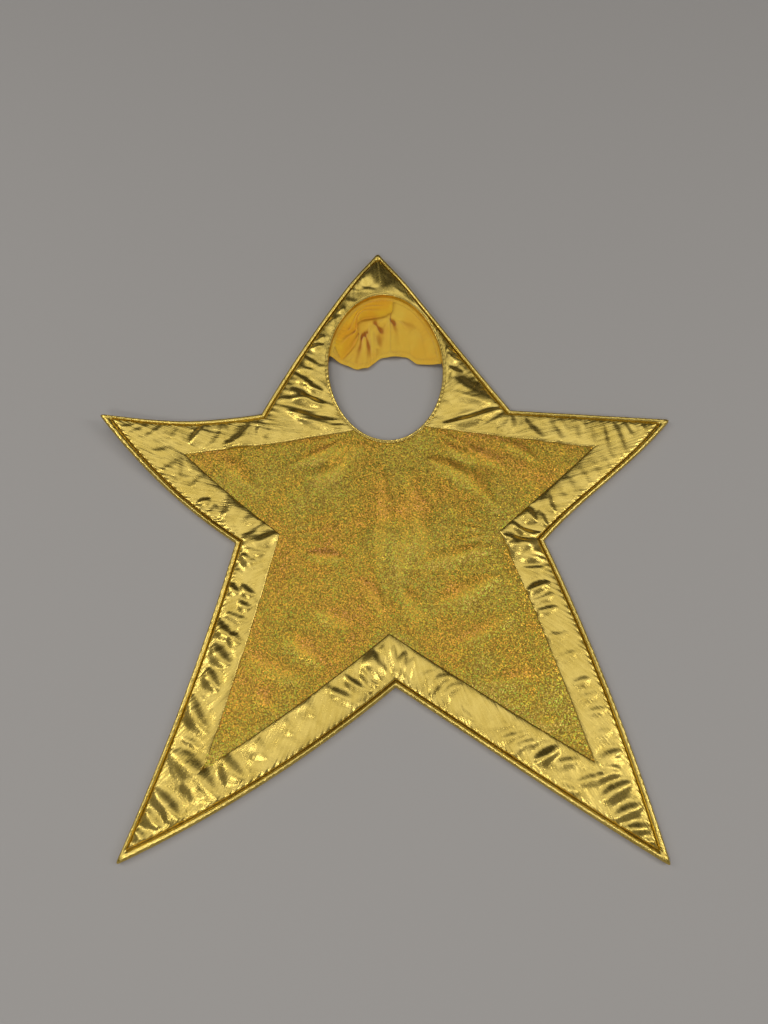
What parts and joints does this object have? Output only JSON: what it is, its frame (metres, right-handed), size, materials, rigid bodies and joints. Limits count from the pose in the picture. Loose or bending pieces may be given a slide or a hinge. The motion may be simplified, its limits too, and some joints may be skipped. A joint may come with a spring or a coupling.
{
  "type": "star costume panel",
  "caption": "Padded gold star worn on the front of the body, with an egg-shaped face opening, a sparkling inset star and a soft hood behind the opening.",
  "frame": {"origin": "centre of the bounding box in X and Y, at the lowest point, where the rolled edge rests on the ground", "axes": "+Z out of the front face as the panel lies face up, +Y towards the top point of the star, +X to the right as seen from the front"},
  "size_m": [0.9002, 0.9628, 0.0313],
  "materials": {
    "foil_lame": "pale gold foil printed on a fine knit, wrinkled, strong highlights",
    "hologram": "olive gold foil knit with a fine multicoloured glitter",
    "jersey": "matt yellow-orange knit",
    "wadding": "white soft foam sheet",
    "lining": "matt gold woven lining",
    "boning": "white extruded plastic rod",
    "elastic": "white ribbed elastic tape"
  },
  "bodies": {
    "panel": {"front_border": "foil_lame", "hologram_inset": "hologram", "wadding_core": "wadding", "back_cover": "lining", "face_binding": "foil_lame", "hood_seam_band": "jersey", "back_elastic": "elastic", "elastic_patch_left": "lining", "elastic_patch_right": "lining", "boning_top_right": "boning", "boning_right_arm_upper": "boning", "boning_right_arm_lower": "boning", "boning_right_leg_outer": "boning", "boning_right_leg_inner": "boning", "boning_left_leg_inner": "boning", "boning_left_leg_outer": "boning", "boning_left_arm_lower": "boning", "boning_left_arm_upper": "boning", "boning_top_left": "boning"},
    "hood": {"hood_left_panel": "jersey", "hood_right_panel": "jersey", "hood_hem": "jersey"}
  },
  "joints": [
    {"name": "hood_swing", "type": "hinge", "parent": "panel", "child": "hood", "pos_m": [0, 0.3815, 0.0195], "axis": [1, 0, 0], "range_deg": [-60, 80]}
  ]
}
